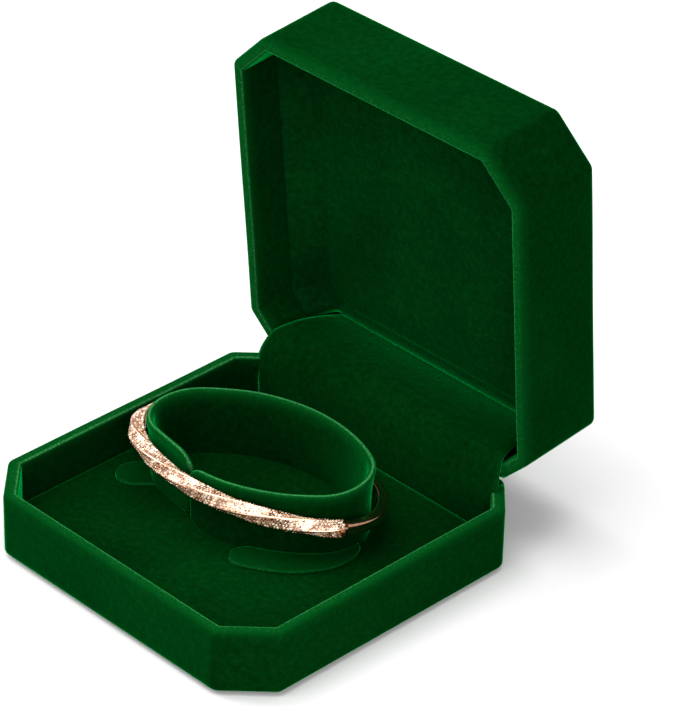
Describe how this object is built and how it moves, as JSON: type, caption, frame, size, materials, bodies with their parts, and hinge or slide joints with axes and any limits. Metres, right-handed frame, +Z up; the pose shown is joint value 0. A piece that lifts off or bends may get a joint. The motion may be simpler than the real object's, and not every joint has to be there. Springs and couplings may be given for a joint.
{
  "type": "bangle box",
  "caption": "Eight-sided velvet jewellery box with its hinged lid open, a padded insert with an oval collar, and a twisted stone-set bangle closed round the collar.",
  "frame": {"origin": "centre of the base's underside", "axes": "+X right along the lid hinge, +Y to the back where the hinge is, +Z up"},
  "size_m": [0.1, 0.1213, 0.1181],
  "materials": {
    "velvet": "short velvet pile",
    "board": "plain",
    "panel": "matte",
    "foam": "soft wadding",
    "strip": "matte",
    "hinge_steel": "plated",
    "rose_gold": "polished rose gold",
    "stones": "cut and polished"
  },
  "bodies": {
    "base": {"base_shell": "board", "base_wrap": "velvet", "base_lining": "velvet", "base_panel": "panel", "cover_board_base": "board", "hinge_cover_base": "velvet", "leaf_base": "hinge_steel", "rivets_base": "hinge_steel", "hinge_pin": "hinge_steel"},
    "hinge_fold": {"hinge_spring": "hinge_steel", "hinge_cover_fold": "velvet"},
    "lid": {"lid_shell": "board", "lid_wrap": "velvet", "lid_lining": "velvet", "lid_board": "board", "lid_foam": "foam", "lid_velvet": "velvet", "leaf_lid": "hinge_steel", "rivets_lid": "hinge_steel", "cover_board_lid": "board", "hinge_cover_lid": "velvet"},
    "insert": {"insert_board": "board", "pad_foam": "foam", "pad_velvet": "velvet", "collar_core": "strip", "collar_velvet": "velvet", "tab_front": "velvet", "tab_left": "velvet"},
    "bangle_rear": {"bangle_rear_band": "rose_gold", "bangle_rear_knuckle": "rose_gold", "bangle_pin": "rose_gold", "clasp_tongue": "rose_gold"},
    "bangle_front": {"bangle_front_bar": "rose_gold", "bangle_stones": "stones", "clasp_box": "rose_gold", "bangle_front_knuckle": "rose_gold"},
    "clasp": {"clasp_thumb": "rose_gold"}
  },
  "joints": [
    {"name": "lid_hinge", "type": "hinge", "parent": "base", "child": "lid", "pos_m": [0, 0.0467, 0.02], "axis": [1, 0, 0], "range_deg": [0, 84.9]},
    {"name": "cover_bend", "type": "hinge", "parent": "base", "child": "hinge_fold", "pos_m": [0, 0.0467, 0.02], "axis": [1, 0, 0], "range_deg": [0, 42.45]},
    {"name": "insert_lift", "type": "slide", "parent": "base", "child": "insert", "axis": [0, 0, -1], "range_m": [-0.03, 0]},
    {"name": "bangle_lift", "type": "slide", "parent": "insert", "child": "bangle_rear", "axis": [0, 0, -1], "range_m": [-0.02, 0]},
    {"name": "bangle_open", "type": "hinge", "parent": "bangle_rear", "child": "bangle_front", "pos_m": [-0.03851, 0.00823, 0.01981], "axis": [0.0396, 0.1668, 0.9852], "range_deg": [-24, 0]},
    {"name": "clasp_press", "type": "slide", "parent": "bangle_front", "child": "clasp", "axis": [0.9099, -0.4136, 0.0335], "range_m": [-0.0005, 0], "stiffness_N_per_m": 300}
  ],
  "couplings": [
    {"joint": "cover_bend", "follows": "lid_hinge", "ratio": 0.5}
  ]
}
